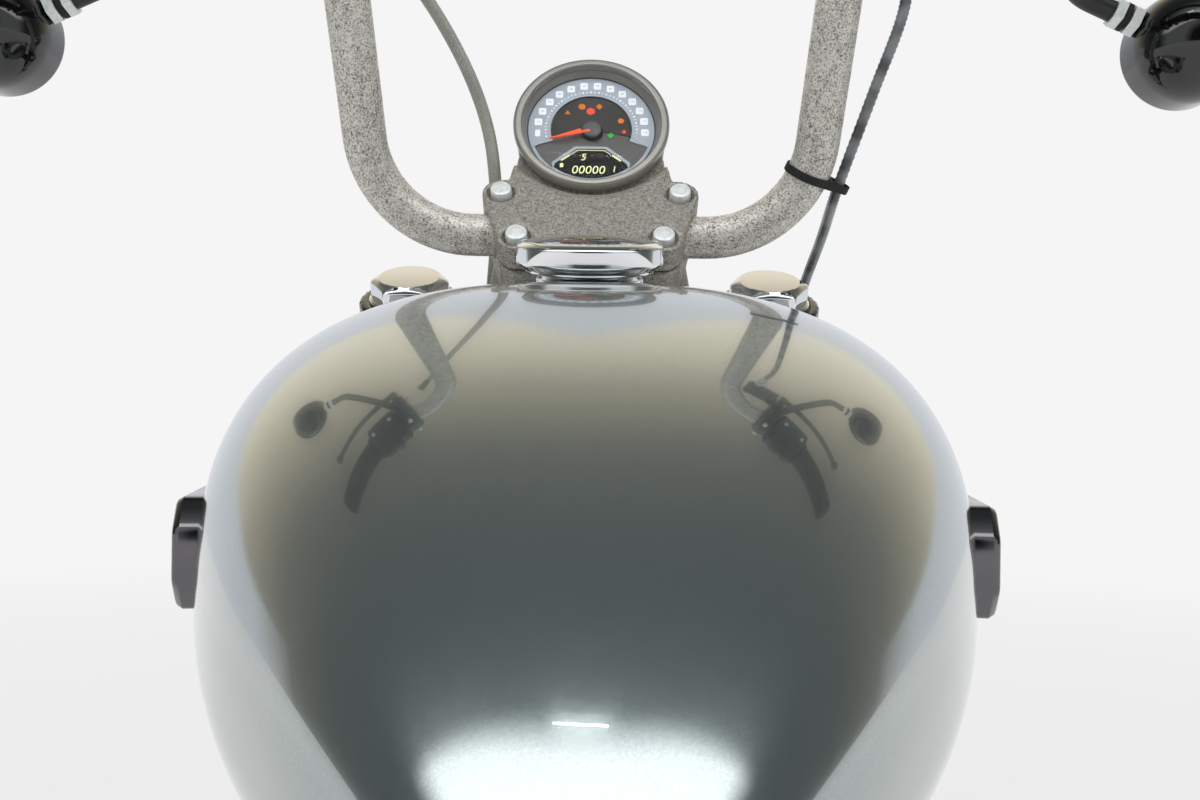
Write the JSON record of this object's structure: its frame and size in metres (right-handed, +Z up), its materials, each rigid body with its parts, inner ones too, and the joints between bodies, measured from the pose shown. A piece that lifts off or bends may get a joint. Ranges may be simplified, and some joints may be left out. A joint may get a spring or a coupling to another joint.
{
  "type": "motorcycle fuel tank and steering assembly",
  "caption": "Front section of a bobber motorcycle: teardrop fuel tank with cap on a frame backbone, raked steering head, fork yokes and tubes, high handlebar with controls and gauge.",
  "frame": {"origin": "centre of the cross bolt bore at the rear end of the frame backbone", "axes": "+X to the rider's right along the bolt bore, +Y forward, +Z up as the motorcycle stands"},
  "size_m": [0.8096, 0.8139, 0.7673],
  "materials": {
    "frame_black": "gloss black powder coat",
    "bearing_steel": "ground steel",
    "tank_paint": "gloss grey metallic with clear coat",
    "chrome": "mirror polished chrome plate",
    "badge_chrome": "dark smoked chrome",
    "mount_rubber": "moulded rubber with steel bolt",
    "black_plastic": "moulded black plastic",
    "yoke_black": "gloss black enamel",
    "fork_steel": "hard chromed tube",
    "bronze_texture": "sparkling bronze-grey crackle powder coat",
    "bar_texture": "hammered grey vein powder coat",
    "zinc": "white zinc plated screws",
    "bezel_metal": "satin grey anodised ring",
    "dial_face": "printed pale ring and charcoal face",
    "needle_red": "red-orange moulded pointer",
    "gauge_glass": "clear glass",
    "grip_rubber": "moulded black rubber",
    "control_black": "satin black control castings",
    "hose_sleeve": "braided hose under a clear sleeve",
    "cable_black": "dark grey cable jacket",
    "signal_black": "gloss black shell",
    "signal_amber": "amber lens"
  },
  "bodies": {
    "frame": {"frame_neck": "frame_black", "frame_backbone": "frame_black", "head_bearings": "bearing_steel", "fuel_tank": "tank_paint", "filler_neck": "chrome", "tank_badge_left": "badge_chrome", "tank_badge_right": "badge_chrome", "tank_front_bolt": "mount_rubber", "tank_rear_bolt": "mount_rubber", "fuel_outlet": "black_plastic"},
    "fuel_cap": {"fuel_cap": "chrome"},
    "steering": {"steering_stem": "bearing_steel", "upper_yoke": "yoke_black", "lower_yoke": "yoke_black", "fork_tube_left": "fork_steel", "fork_tube_right": "fork_steel", "fork_cap_left": "chrome", "fork_cap_right": "chrome", "riser": "bronze_texture", "riser_clamp": "bronze_texture", "clamp_bolts": "zinc", "gauge_case": "black_plastic", "gauge_bezel": "bezel_metal", "gauge_dial": "dial_face", "gauge_needle": "needle_red", "gauge_glass": "gauge_glass", "handlebar": "bar_texture", "grip_left": "grip_rubber", "grip_right": "grip_rubber", "switch_left": "control_black", "switch_right": "control_black", "clutch_perch": "control_black", "clutch_lever": "control_black", "brake_perch": "control_black", "master_cylinder": "control_black", "brake_lever": "control_black", "brake_hose": "hose_sleeve", "hose_block": "control_black", "clutch_cable": "cable_black", "cable_guide": "control_black", "cable_tie": "black_plastic", "signal_left": "signal_black", "signal_right": "signal_black", "signal_lens_left": "signal_amber", "signal_lens_right": "signal_amber", "signal_stalk_left": "signal_black", "signal_stalk_right": "signal_black"}
  },
  "joints": [
    {"name": "steering_head", "type": "hinge", "parent": "frame", "child": "steering", "pos_m": [0, 0.53284, 0.12244], "axis": [0, -0.454, 0.891], "range_deg": [-30, 30]},
    {"name": "fuel_cap_turn", "type": "hinge", "parent": "frame", "child": "fuel_cap", "pos_m": [0, 0.383, 0.23793], "axis": [0, -0.2079, 0.9781], "range_deg": [0, 90]}
  ]
}
